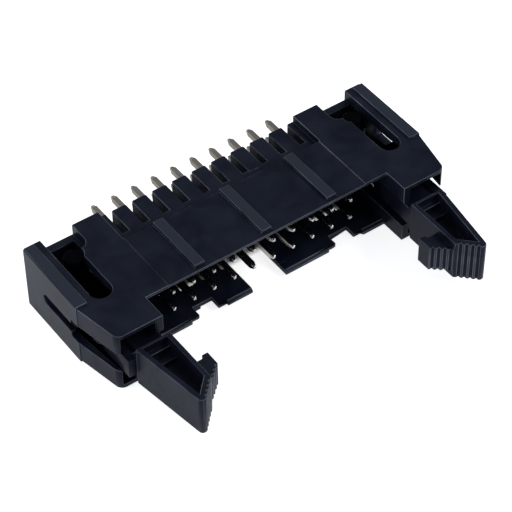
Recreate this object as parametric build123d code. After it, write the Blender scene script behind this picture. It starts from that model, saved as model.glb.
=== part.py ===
from build123d import *
import math
import os

# Straight two-row box header with two long swinging latches, lying on one long side.
# X runs along the rows, -Y is the mating direction, +Y points to the board and +Z is up.
# The pieces are drawn with y = 0 on the board seat and z = 0 midway between the two rows,
# and in_frame then moves them so that the origin is under the middle of the whole header.
# Depths are distances from the board seat towards the mating side. All sizes are millimetres.

# Contacts
columns = 10
pitch = 2.54
row_spacing = 2.54
pin_side = 0.64
pin_reach = 12.25
tail_length = 3.35
pin_tip_length = 0.55
pin_tip_side = 0.30

# Shroud and its cavity
cavity_end_margin = 3.92
cavity_height = 6.40
long_wall = 0.65
base_depth = 5.85
shroud_depth = 13.15
lead_in = 0.30
panel_recess = 0.08
panel_end_margin = 1.10

# Comb of standoff teeth on the board side
comb_height = 6.10
comb_depth = 4.85
groove_width = 0.75
groove_depth = 3.50
tooth_chamfer = 0.12

# Raised strips and end rails
raised_height = 0.25
strip_width = 1.25
strip_offset = 8.40
strip_front_margin = 0.50
rail_width = 1.40
rail_length = 10.45
rail_round = 0.20

# Keying side of the shroud: the main key slot, two notches and the slits behind them
key_slot_width = 4.30
notch_centers = (-3.0 * pitch, 4.0 * pitch)
notch_width = 2.40
notch_depth = 1.60
notch_step_width = 1.05
notch_step_depth = 0.28
slit_offsets = (-0.48, 0.63, 2.26)
slit_width = 0.75
slit_length = 3.00

# Ears that carry the latches
ear_width = 6.65
ear_depth = 16.20
ear_root_overlap = 2.70
ear_taper_depth = 10.05
ear_taper = 1.21
nose_round = 0.90
rear_bevel = 0.30
end_wall = 0.90
outer_wall = 0.90
rear_wall = 0.95
mouth_edge = 0.39
pocket_height = 5.00
mouth_height = 6.70
pocket_flare_start = 8.25
pocket_flare_end = 11.25
finger_gap_height = 3.50

# Latch hinge and the openings around it
pivot_inset = 4.00
pivot_depth = 3.65
boss_radius = 1.05
boss_clearance = 0.08
boss_recess = 0.45
hub_radius = 1.50
hub_clearance = 0.10
entry_inner = 2.10
entry_depth = 3.45
entry_round = 1.00
slot_inner = 0.75
slot_outer = 1.75
slot_depth = 10.75
web_thickness = 1.20
arm_thickness = 2.40
arm_clearance = 0.06
window_start = 3.80
window_step_depth = 9.05

# Latch head, foot and hook
head_thickness = 5.00
head_gap = 1.20
head_length = 9.90
head_lean = 1.50
head_inner_gap = 0.05
grip_run = 2.65
head_outer_wall = 0.60
head_inner_wall = 0.50
head_front_wall = 0.75
head_rear_rim = 0.25
head_shelf_length = 0.55
head_shelf_height = 1.50
head_step_length = 1.15
head_step_height = 0.85
head_web_half = 0.40
tip_round = 0.50
shoulder_length = 0.80
shoulder_inset = 0.20
hook_reach = 1.95
hook_thickness = 3.20
hook_depth = 4.15
hook_barb = 0.40
hook_barb_width = 0.70
hook_slope = 0.88
rib_pitch = 0.63
rib_depth = 0.22
foot_reach = 2.15
foot_width = 0.70
foot_floor_gap = 0.10
foot_side_gap = 0.25
foot_heel = 1.20
foot_rise = 0.55
arm_wall_gap = 0.25
arm_sweep_gap = 0.15

# Worked out from the sizes above
half_row = (columns - 1) * pitch / 2
cavity_half = half_row + cavity_end_margin
plate_top = cavity_height / 2 + long_wall
rail_top = plate_top + raised_height
outer_x = cavity_half + ear_width
root_x = cavity_half - ear_root_overlap
panel_x = half_row + panel_end_margin
pocket_inner_x = cavity_half + end_wall
pocket_outer_x = outer_x - outer_wall
nose_x = outer_x - ear_taper
mouth_outer_x = nose_x - mouth_edge
pivot_x = outer_x - pivot_inset
pocket_half = pocket_height / 2
web_half = web_thickness / 2
arm_half = arm_thickness / 2
head_half = head_thickness / 2
shoulder_half = head_half - shoulder_inset
head_rear_depth = ear_depth + head_gap
reach = head_rear_depth + head_length
cut_margin = 1.0


def block(x_range, y_range, z_range):
    """A box given by its two limits along each axis."""
    size = [high - low for low, high in (x_range, y_range, z_range)]
    middle = [(high + low) / 2 for low, high in (x_range, y_range, z_range)]
    return Pos(*middle) * Box(*size)


def slab(outline, low, high):
    """A plan outline raised from one height to another."""
    return Pos(0, 0, low) * extrude(outline, high - low, dir=(0, 0, 1))


def level_slab(outline, half_height):
    """A plan outline raised evenly above and below the mid plane."""
    return slab(outline, -half_height, half_height)


def plan(*points):
    return Polygon(*points, align=None)


def rounded(outline, radius, *corners):
    """The outline with the corners nearest the given points rounded."""
    picked = [outline.vertices().sort_by_distance(Vector(x, y, 0))[0] for x, y in corners]
    return fillet(picked, radius)


def both_ends(shape):
    return shape + mirror(shape, about=Plane.YZ)


def both_faces(shape):
    return shape + mirror(shape, about=Plane.XY)


def in_frame(shape):
    """Move a finished piece so that the origin is under the middle of the header."""
    return Pos(0, (reach - tail_length) / 2, rail_top) * shape


def body_blank():
    """The outer block: shroud, ears, comb, end rails and raised strips."""
    ear = plan(
        (root_x, 0),
        (root_x, -shroud_depth),
        (cavity_half, -shroud_depth),
        (cavity_half, -ear_depth),
        (nose_x, -ear_depth),
        (outer_x, -ear_taper_depth),
        (outer_x, 0),
    )
    ear = rounded(ear, nose_round, (nose_x, -ear_depth))
    rear_corner = ear.vertices().sort_by_distance(Vector(outer_x, 0, 0))[0]
    ear = chamfer(rear_corner, rear_bevel)
    blank = both_ends(level_slab(ear, plate_top))

    shroud_y = (-shroud_depth, -comb_depth)
    blank += block((-root_x, root_x), shroud_y, (-plate_top, plate_top))
    blank += block((-root_x, root_x), (-comb_depth, 0), (-comb_height / 2, comb_height / 2))

    panel = block(
        (-panel_x, panel_x),
        (-shroud_depth - cut_margin, -comb_depth + cut_margin),
        (plate_top - panel_recess, plate_top + cut_margin),
    )
    blank -= both_faces(panel)

    rail = block(
        (outer_x - rail_width, outer_x),
        (-rail_length, -rear_bevel),
        (0, rail_top),
    )
    outer_edge_middle = Vector(outer_x, -rail_length / 2, rail_top)
    outer_edge = rail.edges().filter_by(Axis.Y).sort_by_distance(outer_edge_middle)[0]
    blank += both_ends(both_faces(fillet(outer_edge, rail_round)))

    strip = block(
        (-strip_width / 2, strip_width / 2),
        (-shroud_depth + strip_front_margin, -comb_depth),
        (cavity_height / 2, rail_top),
    )
    outer_strips = Pos(strip_offset, 0, 0) * strip + Pos(-strip_offset, 0, 0) * strip
    return blank + strip + both_faces(outer_strips)


def cavity():
    """The space inside the shroud, with the lead-in at its front edge."""
    half_height = cavity_height / 2
    section = Plane.YZ * Polygon(
        (-base_depth, half_height),
        (-shroud_depth + lead_in, half_height),
        (-shroud_depth, half_height + lead_in),
        (-shroud_depth - cut_margin, half_height + lead_in),
        (-shroud_depth - cut_margin, -half_height - lead_in),
        (-shroud_depth, -half_height - lead_in),
        (-shroud_depth + lead_in, -half_height),
        (-base_depth, -half_height),
        align=None,
    )
    narrow = extrude(section, cavity_half, dir=(1, 0, 0), both=True)
    deep_front = -ear_depth - cut_margin
    sides = block((-cavity_half, cavity_half), (deep_front, -base_depth), (-plate_top, plate_top))
    return narrow & sides


def keying_cuts():
    """The openings in the lower long wall: key slot, notches and slits."""
    through = (-rail_top - cut_margin, -cavity_height / 2 + cut_margin / 2)
    front = -shroud_depth - cut_margin
    key = plan(
        (-key_slot_width / 2, -base_depth),
        (-key_slot_width / 2, front),
        (key_slot_width / 2, front),
        (key_slot_width / 2, -base_depth),
    )
    cuts = slab(key, *through)
    for center in notch_centers:
        half = notch_width / 2
        notch = plan(
            (center - half - notch_step_width, front),
            (center - half - notch_step_width, -shroud_depth + notch_step_depth),
            (center - half, -shroud_depth + notch_step_depth),
            (center - half, -shroud_depth + notch_depth),
            (center + half, -shroud_depth + notch_depth),
            (center + half, -shroud_depth + notch_step_depth),
            (center + half + notch_step_width, -shroud_depth + notch_step_depth),
            (center + half + notch_step_width, front),
        )
        cuts += slab(notch, *through)
        for offset in slit_offsets:
            x = center + offset
            slit = plan(
                (x - slit_width / 2, -base_depth),
                (x - slit_width / 2, -base_depth - slit_length),
                (x + slit_width / 2, -base_depth - slit_length),
                (x + slit_width / 2, -base_depth),
            )
            cuts += slab(slit, *through)
    return cuts


def latch_pocket():
    """The space inside the right ear: pocket, mouth, finger gap, outer windows and hinge openings."""
    floor_plan = plan(
        (pocket_inner_x, -rear_wall),
        (pocket_inner_x, -ear_depth - cut_margin),
        (mouth_outer_x, -ear_depth - cut_margin),
        (mouth_outer_x, -ear_depth),
        (pocket_outer_x, -ear_taper_depth),
        (pocket_outer_x, -rear_wall),
    )
    side_profile = Plane.YZ * Polygon(
        (-rear_wall, pocket_half),
        (-pocket_flare_start, pocket_half),
        (-pocket_flare_end, mouth_height / 2),
        (-ear_depth - cut_margin, mouth_height / 2),
        (-ear_depth - cut_margin, -mouth_height / 2),
        (-pocket_flare_end, -mouth_height / 2),
        (-pocket_flare_start, -pocket_half),
        (-rear_wall, -pocket_half),
        align=None,
    )
    pocket = level_slab(floor_plan, plate_top) & extrude(side_profile, outer_x, dir=(1, 0, 0))

    finger_gap = block(
        (cavity_half - cut_margin, pocket_inner_x + cut_margin),
        (-ear_depth - cut_margin, -base_depth),
        (-finger_gap_height / 2, finger_gap_height / 2),
    )

    window_x = (pocket_outer_x - cut_margin, outer_x + cut_margin)
    narrow_half = web_half + arm_clearance
    narrow_end = -window_start - narrow_half
    windows = block(window_x, (-window_step_depth - cut_margin, narrow_end), (-narrow_half, narrow_half))
    round_end = Rot(0, 90, 0) * Cylinder(narrow_half, window_x[1] - window_x[0])
    windows += Pos((window_x[0] + window_x[1]) / 2, narrow_end, 0) * round_end
    wide_half = arm_half + arm_clearance
    windows += block(window_x, (-ear_depth - cut_margin, -window_step_depth), (-wide_half, wide_half))

    entry = plan(
        (pivot_x - entry_inner, cut_margin),
        (pivot_x - entry_inner, -entry_depth),
        (pivot_x + slot_outer, -entry_depth),
        (pivot_x + slot_outer, cut_margin),
    )
    entry = rounded(entry, entry_round, (pivot_x - entry_inner, -entry_depth))
    seat = Pos(pivot_x, -pivot_depth) * Circle(boss_radius + boss_clearance)
    end_radius = (slot_inner + slot_outer) / 2
    slot_x = pivot_x + (slot_outer - slot_inner) / 2
    slot = plan(
        (pivot_x - slot_inner, -entry_depth),
        (pivot_x - slot_inner, -slot_depth + end_radius),
        (pivot_x + slot_outer, -slot_depth + end_radius),
        (pivot_x + slot_outer, -entry_depth),
    )
    opening = entry + seat + slot + Pos(slot_x, -slot_depth + end_radius) * Circle(end_radius)
    plate_cut = both_faces(slab(opening, pocket_half, rail_top + cut_margin))
    return pocket + finger_gap + windows + plate_cut


def comb_grooves():
    """The grooves between the standoff teeth, one across each contact pair."""
    cuts = Part()
    for column in range(columns):
        x = -half_row + column * pitch
        half = groove_width / 2
        groove = plan(
            (x - half, -groove_depth),
            (x - half, -tooth_chamfer),
            (x - half - tooth_chamfer, 0),
            (x - half - tooth_chamfer, cut_margin),
            (x + half + tooth_chamfer, cut_margin),
            (x + half + tooth_chamfer, 0),
            (x + half, -tooth_chamfer),
            (x + half, -groove_depth),
        )
        cuts += level_slab(groove, plate_top)
    return cuts


def contact_holes():
    """The square holes that hold the contacts in the base."""
    holes = Part()
    for x, z in contact_places():
        half = pin_side / 2
        holes += block((x - half, x + half), (-base_depth - cut_margin, cut_margin), (z - half, z + half))
    return holes


def contact_places():
    """Centre of each contact as (x, z), column by column with the lower row first."""
    places = []
    for column in range(columns):
        x = -half_row + column * pitch
        places.append((x, -row_spacing / 2))
        places.append((x, row_spacing / 2))
    return places


def make_housing():
    """The moulded housing, one solid."""
    housing = body_blank() - cavity() - keying_cuts()
    housing -= both_ends(latch_pocket())
    housing -= comb_grooves()
    housing -= contact_holes()
    return housing


def make_pin(x, z):
    """One square contact with tapered ends, from solder tip to mating tip."""
    section = Plane.XZ * Rectangle(pin_side, pin_side)
    tip_section = Plane.XZ * Rectangle(pin_tip_side, pin_tip_side)
    front = -pin_reach + pin_tip_length
    back = tail_length - pin_tip_length
    shaft = block((-pin_side / 2, pin_side / 2), (front, back), (-pin_side / 2, pin_side / 2))
    front_tip = loft([Pos(0, front, 0) * section, Pos(0, -pin_reach, 0) * tip_section])
    back_tip = loft([Pos(0, back, 0) * section, Pos(0, tail_length, 0) * tip_section])
    return Pos(x, 0, z) * (shaft + front_tip + back_tip)


def head_corners():
    """Corners of the latch head in plan: rear outer, tip, grip end and rear inner."""
    inner_x = cavity_half + head_inner_gap
    return (
        (pivot_x + head_lean, -head_rear_depth),
        (pivot_x, -reach),
        (inner_x, -reach + grip_run),
        (inner_x, -head_rear_depth),
    )


def inset_corners(corners, walls):
    """Corners of the outline that lies inside a clockwise one, each side by its own wall."""
    sides = []
    for number, wall in enumerate(walls):
        start = Vector(*corners[number])
        along = (Vector(*corners[(number + 1) % len(corners)]) - start).normalized()
        inward = Vector(along.Y, -along.X)
        sides.append((start + inward * wall, along))
    inside = []
    for number in range(len(sides)):
        first, first_along = sides[number - 1]
        second, second_along = sides[number]
        gap = second - first
        cross = first_along.X * second_along.Y - first_along.Y * second_along.X
        travel = (gap.X * second_along.Y - gap.Y * second_along.X) / cross
        corner = first + first_along * travel
        inside.append((corner.X, corner.Y))
    return inside


def rib_grooves(start, end, half_height):
    """V grooves across a straight gripping face, leaving ribs that run along Z.

    The face is listed so that the solid lies on its right-hand side.
    """
    run = Vector(*end) - Vector(*start)
    along = run.normalized()
    inward = Vector(along.Y, -along.X)
    count = int(run.length / rib_pitch)
    first = (run.length - (count - 1) * rib_pitch) / 2
    cuts = Part()
    for number in range(count):
        middle = Vector(*start) + along * (first + number * rib_pitch)
        mouth = middle - inward * (rib_depth / 2)
        bottom = middle + inward * rib_depth
        corners = (mouth + along * (rib_pitch / 2), mouth - along * (rib_pitch / 2), bottom)
        cuts += level_slab(plan(*[(corner.X, corner.Y) for corner in corners]), half_height)
    return cuts


def latch_head():
    """The head with its ribbed grip, and a stepped pocket in each face."""
    corners = head_corners()
    head = level_slab(rounded(plan(*corners), tip_round, corners[1]), head_half)
    rear_walls_and_floors = (
        (head_rear_rim, head_shelf_height),
        (head_rear_rim + head_shelf_length, head_step_height),
        (head_rear_rim + head_shelf_length + head_step_length, head_web_half),
    )
    for rear_wall_length, floor in rear_walls_and_floors:
        walls = (head_outer_wall, head_front_wall, head_inner_wall, rear_wall_length)
        pocket = plan(*inset_corners(corners, walls))
        head -= both_faces(slab(pocket, floor, head_half + cut_margin))
    return head - rib_grooves(corners[1], corners[2], head_half + cut_margin)


def latch_hook():
    """The hook that reaches in over the plug, with a barb at its tip and ribs on its back."""
    grip_end = head_corners()[2]
    hook_x = grip_end[0] - hook_reach
    back_y = grip_end[1] + hook_reach * hook_slope
    rear_y = -head_rear_depth - hook_depth
    root_x = grip_end[0] + head_inner_wall / 2
    hook = plan(
        (root_x, grip_end[1]),
        grip_end,
        (hook_x, back_y),
        (hook_x, rear_y + hook_barb),
        (hook_x + hook_barb_width, rear_y + hook_barb),
        (hook_x + hook_barb_width + hook_barb / 2, rear_y),
        (root_x, rear_y),
    )
    half = hook_thickness / 2
    return level_slab(hook, half) - rib_grooves(grip_end, (hook_x, back_y), half + cut_margin)


def latch_arm():
    """The arm from the head's shoulder back to the hub, thin where it swings through the windows."""
    inner_x = cavity_half + arm_wall_gap
    outer_x_arm = pivot_x + head_lean
    inner_reach = pivot_x - pocket_inner_x - arm_wall_gap
    arm_start = math.hypot(pivot_inset, window_step_depth - pivot_depth) + arm_sweep_gap
    arm = plan(
        (outer_x_arm, -head_rear_depth - head_rear_rim / 2),
        (inner_x, -head_rear_depth - head_rear_rim / 2),
        (pivot_x - inner_reach, -pivot_depth),
        (outer_x_arm, -pivot_depth),
    )
    thick = level_slab(arm, arm_half) - Pos(pivot_x, -pivot_depth) * Cylinder(arm_start, pocket_height)
    thin = level_slab(arm, web_half)

    shoulder_profile = Plane.YZ * Polygon(
        (-head_rear_depth - head_rear_rim / 2, shoulder_half),
        (-head_rear_depth, shoulder_half),
        (-head_rear_depth + shoulder_length, arm_half),
        (-head_rear_depth + shoulder_length, -arm_half),
        (-head_rear_depth, -shoulder_half),
        (-head_rear_depth - head_rear_rim / 2, -shoulder_half),
        align=None,
    )
    shoulder = extrude(shoulder_profile, outer_x, dir=(1, 0, 0)) & level_slab(arm, head_half)
    return thick + thin + shoulder


def latch_hub():
    """The hub between the ear plates, with a round boss into each hinge seat."""
    hub = Cylinder(hub_radius, 2 * (pocket_half - hub_clearance))
    bosses = Cylinder(boss_radius, 2 * (plate_top - boss_recess))
    return Pos(pivot_x, -pivot_depth) * (hub + bosses)


def latch_foot():
    """The foot that pushes the plug out when the latch swings open."""
    tip_x = cavity_half - foot_reach
    rear_y = -base_depth - foot_floor_gap
    foot = plan(
        (tip_x, rear_y),
        (tip_x, rear_y - foot_width),
        (pivot_x - foot_heel, rear_y - foot_width - foot_rise),
        (pivot_x + foot_heel / 2, rear_y - foot_width / 2),
        (pivot_x + foot_heel / 2, -pivot_depth),
        (pivot_x - foot_heel, -pivot_depth),
        (pivot_x - foot_heel, rear_y),
    )
    return level_slab(foot, finger_gap_height / 2 - foot_side_gap)


def make_latch():
    """The right latch, one solid."""
    return latch_head() + latch_hook() + latch_arm() + latch_hub() + latch_foot()


os.makedirs("parts", exist_ok=True)
export_step(in_frame(make_housing()), "parts/housing.step")
for number, (pin_x, pin_z) in enumerate(contact_places(), start=1):
    export_step(in_frame(make_pin(pin_x, pin_z)), f"parts/pin_{number:02d}.step")
latch_right = make_latch()
export_step(in_frame(latch_right), "parts/latch_right.step")
export_step(in_frame(mirror(latch_right, about=Plane.YZ)), "parts/latch_left.step")
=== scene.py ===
import math

import bpy
from mathutils import Euler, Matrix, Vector


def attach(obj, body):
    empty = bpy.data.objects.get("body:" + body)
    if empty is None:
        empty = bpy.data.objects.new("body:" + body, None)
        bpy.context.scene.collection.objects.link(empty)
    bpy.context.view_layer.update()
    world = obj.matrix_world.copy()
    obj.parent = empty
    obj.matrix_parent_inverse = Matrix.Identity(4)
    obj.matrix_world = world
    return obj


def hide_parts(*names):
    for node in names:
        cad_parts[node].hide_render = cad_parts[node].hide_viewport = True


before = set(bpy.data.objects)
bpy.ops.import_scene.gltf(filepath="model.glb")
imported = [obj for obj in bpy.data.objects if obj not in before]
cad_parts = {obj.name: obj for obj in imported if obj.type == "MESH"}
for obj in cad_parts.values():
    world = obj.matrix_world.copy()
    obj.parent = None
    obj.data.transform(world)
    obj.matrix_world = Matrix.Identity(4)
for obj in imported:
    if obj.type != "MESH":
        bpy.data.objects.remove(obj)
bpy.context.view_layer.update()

MM = 0.001

# Camera, solved from the grid of contacts: lengths in millimetres, turns in degrees
CAMERA_PLACE = (-90.184, -126.012, 162.873)
CAMERA_TURNS = (44.214, 0.397, -35.716)
CAMERA_LENS = 148.6
CAMERA_CLIP = 5.0
SENSOR_WIDTH = 36.0

# Edge rounding of the moulded pieces and the contacts, in millimetres
MOULD_EDGE = 0.07
LATCH_EDGE = 0.07
CONTACT_EDGE = 0.03
EDGE_SEGMENTS = 2

# Clean-up of a solid's mesh: merging distance in millimetres, angles in degrees between faces that count
# as one flat, as an edge to round and as a smooth surface, and the weight of large faces in its shading
MERGE_DISTANCE = 0.002
FLAT_ANGLE = 0.5
EDGE_ANGLE = 32
SMOOTH_ANGLE = 50
LARGE_FACE_WEIGHT = 100

# Material slots of a finished piece, and the rise of its neighbours above which a rounded edge counts as
# one in a corner; on the plastics the edge slot holds a paler material, a painted highlight on edges that
# stand out
FACE_SLOT = 0
EDGE_HIGHLIGHT_SLOT = 1
CONVEX_RISE = -0.02

# Floor under the header where its glow is cut out as painted shade, in millimetres: half width and half
# depth, full and faded
FLOOR_SHADE_X = (19.8, 21.4)
FLOOR_SHADE_Y = (3.4, 4.3)
FLOOR_SHADE_MIDDLE = 7.8
EAR_SHADE_PLACE = (18.1, 4.4)
EAR_SHADE_X = (2.0, 2.4)
EAR_SHADE_Y = (6.8, 7.3)

# Floor of the studio: size in metres, own glow, and the share of that glow that the pieces mirror
FLOOR_SIZE = 3.0
FLOOR_COLOUR = (0.9, 0.9, 0.9)
FLOOR_ROUGHNESS = 0.9
FLOOR_GLOW = 0.80
FLOOR_GLOW_COLOUR = (1.0, 1.0, 1.0)
FLOOR_MIRRORED_SHARE = 0.40

# Surroundings, and the soft lights that aim at the origin: place and size in millimetres, power in watts
AIR_COLOUR = (0.70, 0.82, 1.0)
AIR_STRENGTH = 0.20
LIGHTS = (
    ("key_light", (260, -120, 240), (160, 120), 0.42, (1.0, 0.99, 0.97)),
    ("side_light", (-260, 10, 150), (200, 160), 0.30, (0.90, 0.95, 1.0)),
    ("edge_light", (135, -237, 188), (70, 60), 0.12, (1.0, 1.0, 1.0)),
    ("top_light", (138, 184, 237), (260, 200), 0.04, (0.97, 0.98, 1.0)),
    ("back_light", (-40, 300, 160), (240, 120), 0.3, (0.97, 0.98, 1.0)),
)

# Side flanks of the latch arm, in millimetres in the frame of the right latch: the broad one fills the
# mouth of the ear and the thin one the start of its window
FLANK_EDGE = 0.04
ARM_MIDDLE_Z = 4.1
ARM_FLANKS = (
    ((18.9, 20.37), (-5.35, -0.50), 1.20),
    ((19.2, 21.60), (2.60, 5.00), 0.63),
)

# A mask or a texture runs from none to all of something
WHOLE = (0.0, 1.0)
UNSCALED = 1.0

# Moulded skin: scales in cycles per metre; detail, roughness and, for the flow, distortion of each noise;
# and the spans of their values that show as flow, rubbed spots, specks and hairlines
GRAIN_SCALE = 9000.0
GRAIN_NOISE = (3.0, 0.6)
FLOW_SCALE = 260.0
FLOW_NOISE = (2.0, 0.5, 0.6)
FLOW_SPAN = (0.32, 0.68)
RUB_FINENESS = 3.1
RUB_NOISE = (5.0, 0.7)
RUB_SPAN = (0.56, 0.74)
SPECK_SCALE = 1300.0
SPECK_SPAN = (0.10, 0.05)
HAIR_SCALES = (240.0, 7000.0, 900.0)
HAIR_TURN = 33
HAIR_NOISE = (1.0, 0.4)
HAIR_SPAN = (0.70, 0.76)
GRAIN_STRENGTH = 0.35

# Each plastic: deep and light colour of its flow, colour of its marks, roughness of unrubbed and rubbed
# skin, and height of its grain in millimetres
HOUSING_LOOK = (
    (0.0030, 0.0042, 0.0112), (0.0120, 0.0142, 0.0252), (0.060, 0.066, 0.084), (0.32, 0.46), 0.004
)
# Paler colour of the housing's rounded edges that stand out: a painted highlight
HOUSING_EDGE_HIGHLIGHT_LOOK = (
    (0.035, 0.039, 0.052), (0.125, 0.135, 0.165), (0.30, 0.31, 0.34), (0.24, 0.36), 0.002
)
LATCH_LOOK = (
    (0.0045, 0.0058, 0.0125), (0.0110, 0.0130, 0.0225), (0.060, 0.066, 0.084), (0.34, 0.48), 0.004
)
# Paler colour of the latches' rounded edges that stand out: a painted highlight
LATCH_EDGE_HIGHLIGHT_LOOK = (
    (0.030, 0.034, 0.046), (0.105, 0.115, 0.145), (0.25, 0.26, 0.29), (0.24, 0.36), 0.002
)
PLASTIC_IOR = 1.50
PLASTIC_SHEEN = 0.17
SHEEN_TINT = (0.68, 0.80, 1.0)

# Height of the strips and rails, in millimetres, above which the housing takes a paler colour
RAISED_LEVEL = (8.06, 8.14)
RAISED_COLOUR = (0.026, 0.031, 0.044)

# Start and end, along Y in millimetres, of the fade to painted shade, near black and without gloss, on
# the part of a latch that lies inside its ear
LATCH_PAINTED_SHADE = (-1.0, 2.5)
PAINTED_SHADE_COLOUR = (0.0008, 0.0009, 0.0015)
PAINTED_SHADE_SHEEN = 0.02

# Plating of the contacts: drawn lines along Y, clouds, and the height of the lines in millimetres
DRAWN_SCALES = (9000.0, 500.0, 9000.0)
DRAWN_NOISE = (3.0, 0.55)
DRAWN_STRENGTH = 0.3
DRAWN_HEIGHT = 0.006
CLOUD_SCALE = 900.0
CLOUD_NOISE = (2.0, 0.5)
PLATING_COLOURS = ((0.62, 0.585, 0.54), (0.83, 0.81, 0.78))
PLATING_ROUGHNESS = (0.10, 0.24)

# Start and end, along Y in millimetres, where the plating turns darker and duller on the tails
TAIL_DULL = (11.2, 12.2)
TAIL_COLOURS = ((0.23, 0.20, 0.165), (0.40, 0.36, 0.31))
TAIL_ROUGHNESS = 0.42

# Nodes and bodies of the pieces, with the side of each latch
HOUSING_NODE = "housing"
HEADER_BODY = "header_body"
LATCHES = (
    ("latch_left", "left_latch", -1),
    ("latch_right", "right_latch", 1),
)
PIN_COUNT = 20


def only(piece):
    """Select one object and nothing else, and make it active."""
    bpy.ops.object.select_all(action="DESELECT")
    piece.select_set(True)
    bpy.context.view_layer.objects.active = piece


def keep_convex(mesh):
    """Leave the edge slot, a painted highlight, only on rounded edges that stand out, not on those in
    corners.
    """
    faces_at = {}
    for face in mesh.polygons:
        for pair in face.edge_keys:
            faces_at.setdefault(pair, []).append(face.index)
    inner = []
    for face in mesh.polygons:
        if face.material_index != EDGE_HIGHLIGHT_SLOT:
            continue
        rise = 0.0
        for pair in face.edge_keys:
            for other in faces_at[pair]:
                step = mesh.polygons[other].center - face.center
                if step.length > 0:
                    rise += step.normalized().dot(face.normal)
        if rise > CONVEX_RISE:
            inner.append(face.index)
    for index in inner:
        mesh.polygons[index].material_index = FACE_SLOT


def keep_inside(mesh, solid_mesh):
    """Hold every corner of a finished mesh within the box of its solid."""
    spans = []
    for axis in range(3):
        places = [corner.co[axis] for corner in solid_mesh.vertices]
        spans.append((min(places), max(places)))
    for corner in mesh.vertices:
        for axis, (low, high) in enumerate(spans):
            corner.co[axis] = min(max(corner.co[axis], low), high)


def softened(node_name, body, edge_width):
    """A copy of a solid with its sharp edges broken, as a mould or a stamping tool leaves them."""
    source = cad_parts[node_name]
    piece = bpy.data.objects.new(node_name + "_finished", source.data.copy())
    bpy.context.collection.objects.link(piece)
    only(piece)
    bpy.ops.object.mode_set(mode="EDIT")
    bpy.ops.mesh.select_all(action="SELECT")
    bpy.ops.mesh.remove_doubles(threshold=MERGE_DISTANCE * MM)
    bpy.ops.mesh.dissolve_limited(angle_limit=math.radians(FLAT_ANGLE))
    bpy.ops.object.mode_set(mode="OBJECT")
    edges = piece.modifiers.new("edges", "BEVEL")
    edges.width = edge_width * MM
    edges.segments = EDGE_SEGMENTS
    edges.limit_method = "ANGLE"
    edges.angle_limit = math.radians(EDGE_ANGLE)
    edges.miter_outer = "MITER_SHARP"
    edges.use_clamp_overlap = False
    for _ in (FACE_SLOT, EDGE_HIGHLIGHT_SLOT):
        piece.data.materials.append(None)
    edges.material = EDGE_HIGHLIGHT_SLOT
    bpy.ops.object.modifier_apply(modifier="edges")
    keep_convex(piece.data)
    keep_inside(piece.data, source.data)
    bpy.ops.object.shade_smooth_by_angle(angle=math.radians(SMOOTH_ANGLE))
    evened = piece.modifiers.new("evened", "WEIGHTED_NORMAL")
    evened.weight = LARGE_FACE_WEIGHT
    evened.keep_sharp = True
    bpy.ops.object.modifier_apply(modifier="evened")
    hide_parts(node_name)
    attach(piece, body)
    return piece


def in_metres(span):
    """A span of two values in millimetres, in metres."""
    return (span[0] * MM, span[1] * MM)


def feed(tree, socket, value):
    """Give an input a number or a colour, or link it to the output of another node."""
    if isinstance(value, bpy.types.NodeSocket):
        tree.links.new(value, socket)
    elif socket.type == "RGBA":
        socket.default_value = (*value, 1.0)
    else:
        socket.default_value = value


def add(tree, kind, **settings):
    """A node with its settings; a setting that names an input sets that input."""
    node = tree.nodes.new(kind)
    for label, value in settings.items():
        if hasattr(node, label):
            setattr(node, label, value)
        else:
            node.inputs[label.replace("_", " ")].default_value = value
    return node


def calculated(tree, operation, *values):
    """One step of arithmetic on outputs or numbers."""
    node = add(tree, "ShaderNodeMath", operation=operation)
    for socket, value in zip(node.inputs, values):
        feed(tree, socket, value)
    return node.outputs[0]


def ranged(tree, value, span, result=WHOLE):
    """A value carried from one span to another and held at its ends."""
    node = add(
        tree, "ShaderNodeMapRange",
        From_Min=span[0], From_Max=span[1], To_Min=result[0], To_Max=result[1],
    )
    tree.links.new(value, node.inputs["Value"])
    return node.outputs["Result"]


def blended(tree, factor, first, second, kind="RGBA"):
    """A colour or a number between two, each an output or a value."""
    node = add(tree, "ShaderNodeMix", data_type=kind)
    for label, value in (("Factor", factor), ("A", first), ("B", second)):
        feed(tree, node.inputs[label], value)
    return node.outputs["Result"]


def object_place(tree):
    """Position on the object, in metres."""
    return tree.nodes.new("ShaderNodeTexCoord").outputs["Object"]


def object_axis(tree, axis):
    """Position on the object along one axis, in metres."""
    split = tree.nodes.new("ShaderNodeSeparateXYZ")
    tree.links.new(object_place(tree), split.inputs[0])
    return split.outputs[axis]


def stretched(tree, place, scales, turn=0.0):
    """A position scaled along each axis and turned about Z by an angle in degrees."""
    node = tree.nodes.new("ShaderNodeMapping")
    node.inputs["Rotation"].default_value = (0.0, 0.0, math.radians(turn))
    node.inputs["Scale"].default_value = scales
    tree.links.new(place, node.inputs["Vector"])
    return node.outputs["Vector"]


def noise(tree, place, scale, detail, roughness, distortion=0.0):
    """Cloudy noise, with a scale that is a number or an output."""
    node = add(tree, "ShaderNodeTexNoise", Detail=detail, Roughness=roughness, Distortion=distortion)
    feed(tree, node.inputs["Vector"], place)
    feed(tree, node.inputs["Scale"], scale)
    return node.outputs["Fac"]


def bumped(tree, value, strength, height):
    """The surface direction shaken by a texture of a height in millimetres."""
    node = add(tree, "ShaderNodeBump", Strength=strength, Distance=height * MM)
    tree.links.new(value, node.inputs["Height"])
    return node.outputs["Normal"]


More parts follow.
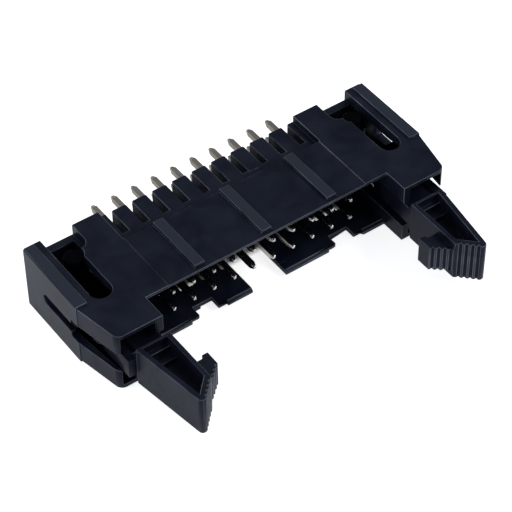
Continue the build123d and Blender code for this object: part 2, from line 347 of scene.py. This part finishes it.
def new_group(name, inputs, outputs):
    """An empty shader node group with named sockets for numbers; inputs hold their first values."""
    group = bpy.data.node_groups.new(name, "ShaderNodeTree")
    for label, value in inputs:
        socket = group.interface.new_socket(name=label, in_out="INPUT", socket_type="NodeSocketFloat")
        socket.default_value = value
    for label in outputs:
        group.interface.new_socket(name=label, in_out="OUTPUT", socket_type="NodeSocketFloat")
    return group


def new_material(name):
    """A material, its node tree and its shader."""
    material = bpy.data.materials.new(name)
    material.use_nodes = True
    return material, material.node_tree, material.node_tree.nodes["Principled BSDF"]


def moulded_skin_group():
    """Fine spark texture, slow flow shade, rubbed spots and small marks of a moulded plastic skin."""
    group = new_group(
        "moulded_skin",
        (("Grain Scale", GRAIN_SCALE), ("Flow Scale", FLOW_SCALE)),
        ("Grain", "Flow", "Rub", "Marks"),
    )
    entry = group.nodes.new("NodeGroupInput")
    result = group.nodes.new("NodeGroupOutput")
    place = object_place(group)
    flow_scale = entry.outputs["Flow Scale"]
    grain = noise(group, place, entry.outputs["Grain Scale"], *GRAIN_NOISE)
    flow = noise(group, place, flow_scale, *FLOW_NOISE)
    rub_scale = calculated(group, "MULTIPLY", flow_scale, RUB_FINENESS)
    rub = ranged(group, noise(group, place, rub_scale, *RUB_NOISE), RUB_SPAN)

    speck_cells = add(group, "ShaderNodeTexVoronoi", Scale=SPECK_SCALE)
    group.links.new(place, speck_cells.inputs["Vector"])
    specks = ranged(group, speck_cells.outputs["Distance"], SPECK_SPAN)
    hair_place = stretched(group, place, HAIR_SCALES, HAIR_TURN)
    hairs = ranged(group, noise(group, hair_place, UNSCALED, *HAIR_NOISE), HAIR_SPAN)
    marks = calculated(group, "MAXIMUM", specks, hairs)
    marks = calculated(group, "MULTIPLY", marks, rub)

    for label, value in (("Grain", grain), ("Flow", flow), ("Rub", rub), ("Marks", marks)):
        group.links.new(value, result.inputs[label])
    return group


def plastic_material(name, skin, look, painted_shade=None, raised=None):
    """Black moulded plastic: navy-black colour that shifts with the flow, satin gloss and fine grain."""
    deep, light, marked, roughness, grain_height = look
    material, tree, shader = new_material(name)
    texture = add(tree, "ShaderNodeGroup", node_tree=skin)
    sheen = PLASTIC_SHEEN
    colour = blended(tree, ranged(tree, texture.outputs["Flow"], FLOW_SPAN), deep, light)
    colour = blended(tree, texture.outputs["Marks"], colour, marked)
    if raised is not None:
        height = ranged(tree, object_axis(tree, "Z"), in_metres(raised))
        colour = blended(tree, height, colour, RAISED_COLOUR)
    # Painted shade: the part of a latch inside its ear fades to near black and loses its gloss
    if painted_shade is not None:
        depth = ranged(tree, object_axis(tree, "Y"), in_metres(painted_shade))
        colour = blended(tree, depth, colour, PAINTED_SHADE_COLOUR)
        sheen = ranged(tree, depth, WHOLE, (PLASTIC_SHEEN, PAINTED_SHADE_SHEEN))
    for label, value in (
        ("Base Color", colour),
        ("Roughness", ranged(tree, texture.outputs["Rub"], WHOLE, roughness)),
        ("IOR", PLASTIC_IOR),
        ("Specular IOR Level", sheen),
        ("Specular Tint", SHEEN_TINT),
        ("Normal", bumped(tree, texture.outputs["Grain"], GRAIN_STRENGTH, grain_height)),
    ):
        feed(tree, shader.inputs[label], value)
    return material


def contact_material():
    """Tin plating on brass: warm grey metal, drawn along Y, with brighter worn spots and dull tails."""
    material, tree, shader = new_material("tin_plating")
    place = object_place(tree)
    lines = noise(tree, stretched(tree, place, DRAWN_SCALES), UNSCALED, *DRAWN_NOISE)
    cloud = noise(tree, place, CLOUD_SCALE, *CLOUD_NOISE)
    behind = ranged(tree, object_axis(tree, "Y"), in_metres(TAIL_DULL))
    bright = blended(tree, cloud, *PLATING_COLOURS)
    dull = blended(tree, lines, *TAIL_COLOURS)
    gloss = ranged(tree, lines, WHOLE, PLATING_ROUGHNESS)
    for label, value in (
        ("Base Color", blended(tree, behind, bright, dull)),
        ("Metallic", 1.0),
        ("Roughness", blended(tree, behind, gloss, TAIL_ROUGHNESS, "FLOAT")),
        ("Normal", bumped(tree, lines, DRAWN_STRENGTH, DRAWN_HEIGHT)),
    ):
        feed(tree, shader.inputs[label], value)
    return material


def dress(piece, face_material, edge_material):
    """One material for the faces of a piece and one for its rounded edges, paler on the plastics as a
    painted highlight.
    """
    piece.data.materials[FACE_SLOT] = face_material
    piece.data.materials[EDGE_HIGHLIGHT_SLOT] = edge_material


def add_flank(name, body, side, x_span, y_span, half_height, material):
    """One flank of a latch arm, as a block with broken edges that rides with the latch."""
    bpy.ops.object.select_all(action="DESELECT")
    middle = (side * sum(x_span) / 2, sum(y_span) / 2, ARM_MIDDLE_Z)
    bpy.ops.mesh.primitive_cube_add(size=1.0, location=Vector(middle) * MM)
    flank = bpy.context.active_object
    flank.name = name
    flank.scale = Vector((x_span[1] - x_span[0], y_span[1] - y_span[0], 2 * half_height)) * MM
    bpy.ops.object.transform_apply(location=True, rotation=True, scale=True)
    edges = flank.modifiers.new("edges", "BEVEL")
    edges.width = FLANK_EDGE * MM
    edges.segments = EDGE_SEGMENTS
    bpy.ops.object.modifier_apply(modifier="edges")
    bpy.ops.object.shade_smooth_by_angle(angle=math.radians(SMOOTH_ANGLE))
    flank.data.materials.append(material)
    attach(flank, body)


def make_header():
    """Every piece of the header, finished."""
    skin = moulded_skin_group()
    housing_plastic = plastic_material("housing_plastic", skin, HOUSING_LOOK, raised=RAISED_LEVEL)
    # Latch plastic with painted shade on the part inside the ear
    latch_plastic = plastic_material("latch_plastic", skin, LATCH_LOOK, painted_shade=LATCH_PAINTED_SHADE)
    # Paler plastic on the latches' edges that stand out: a painted highlight
    latch_edge_highlight_plastic = plastic_material(
        "latch_edge_highlight_plastic", skin, LATCH_EDGE_HIGHLIGHT_LOOK, painted_shade=LATCH_PAINTED_SHADE
    )
    # Paler plastic on the housing's edges that stand out: a painted highlight
    edge_highlight_plastic = plastic_material("edge_highlight_plastic", skin, HOUSING_EDGE_HIGHLIGHT_LOOK)
    plating = contact_material()
    housing = softened(HOUSING_NODE, HEADER_BODY, MOULD_EDGE)
    dress(housing, housing_plastic, edge_highlight_plastic)
    for node_name, body, side in LATCHES:
        latch = softened(node_name, body, LATCH_EDGE)
        dress(latch, latch_plastic, latch_edge_highlight_plastic)
        for number, (x_span, y_span, half_height) in enumerate(ARM_FLANKS, start=1):
            name = "%s_flank_%d" % (node_name, number)
            add_flank(name, body, side, x_span, y_span, half_height, latch_plastic)
    for number in range(1, PIN_COUNT + 1):
        pin = softened("pin_%02d" % number, HEADER_BODY, CONTACT_EDGE)
        dress(pin, plating, plating)


def soft_box(name, place, size, power, tint):
    """A rectangular studio light at a place in millimetres, turned towards the origin."""
    lamp = bpy.data.lights.new(name, "AREA")
    lamp.shape = "RECTANGLE"
    lamp.size, lamp.size_y = in_metres(size)
    lamp.energy = power
    lamp.color = tint
    holder = bpy.data.objects.new(name, lamp)
    bpy.context.collection.objects.link(holder)
    holder.location = Vector(place) * MM
    aim = -Vector(place).normalized()
    holder.rotation_euler = aim.to_track_quat("-Z", "Y").to_euler()


def box_mask(tree, x, y, across, middle_y, along):
    """1 inside a box of the floor and 0 outside it; across and along hold full and faded half sizes."""
    away = calculated(tree, "ABSOLUTE", calculated(tree, "SUBTRACT", y, middle_y * MM))
    wide = ranged(tree, x, in_metres(across[::-1]))
    deep = ranged(tree, away, in_metres(along[::-1]))
    return calculated(tree, "MULTIPLY", wide, deep)


def floor_glow(tree):
    """The glow of the floor: everywhere but under the header, where it is cut out as painted shade, and
    weaker where the pieces mirror it.
    """
    side = calculated(tree, "ABSOLUTE", object_axis(tree, "X"))
    ear_x, ear_y = EAR_SHADE_PLACE
    ear_side = calculated(tree, "ABSOLUTE", calculated(tree, "SUBTRACT", side, ear_x * MM))
    y = object_axis(tree, "Y")
    body = box_mask(tree, side, y, FLOOR_SHADE_X, FLOOR_SHADE_MIDDLE, FLOOR_SHADE_Y)
    ear = box_mask(tree, ear_side, y, EAR_SHADE_X, ear_y, EAR_SHADE_Y)
    shade = calculated(tree, "MAXIMUM", body, ear)
    level = ranged(tree, shade, WHOLE, (FLOOR_GLOW, 0.0))
    seen = tree.nodes.new("ShaderNodeLightPath").outputs["Is Camera Ray"]
    share = ranged(tree, seen, WHOLE, (FLOOR_MIRRORED_SHARE, 1.0))
    return calculated(tree, "MULTIPLY", level, share)


def make_studio():
    """Pale floor, even surroundings, soft lights and the camera."""
    bpy.ops.object.select_all(action="DESELECT")
    bpy.ops.mesh.primitive_plane_add(size=FLOOR_SIZE, location=(0, 0, 0))
    floor = bpy.context.active_object
    floor.name = "studio_floor"
    paint, tree, shader = new_material("studio_floor_paint")
    for label, value in (
        ("Base Color", FLOOR_COLOUR),
        ("Roughness", FLOOR_ROUGHNESS),
        ("Emission Color", FLOOR_GLOW_COLOUR),
        ("Emission Strength", floor_glow(tree)),
    ):
        feed(tree, shader.inputs[label], value)
    floor.data.materials.append(paint)

    world = bpy.data.worlds.new("studio_air")
    world.use_nodes = True
    air = world.node_tree.nodes["Background"]
    feed(world.node_tree, air.inputs["Color"], AIR_COLOUR)
    feed(world.node_tree, air.inputs["Strength"], AIR_STRENGTH)
    bpy.context.scene.world = world

    for light in LIGHTS:
        soft_box(*light)

    lens = bpy.data.cameras.new("photo_camera")
    lens.lens = CAMERA_LENS
    lens.sensor_width = SENSOR_WIDTH
    lens.clip_start = CAMERA_CLIP * MM
    camera = bpy.data.objects.new("photo_camera", lens)
    bpy.context.collection.objects.link(camera)
    camera.location = Vector(CAMERA_PLACE) * MM
    camera.rotation_euler = Euler([math.radians(turn) for turn in CAMERA_TURNS], "XYZ")
    bpy.context.scene.camera = camera
    bpy.context.scene.view_settings.view_transform = "Standard"


make_header()
make_studio()
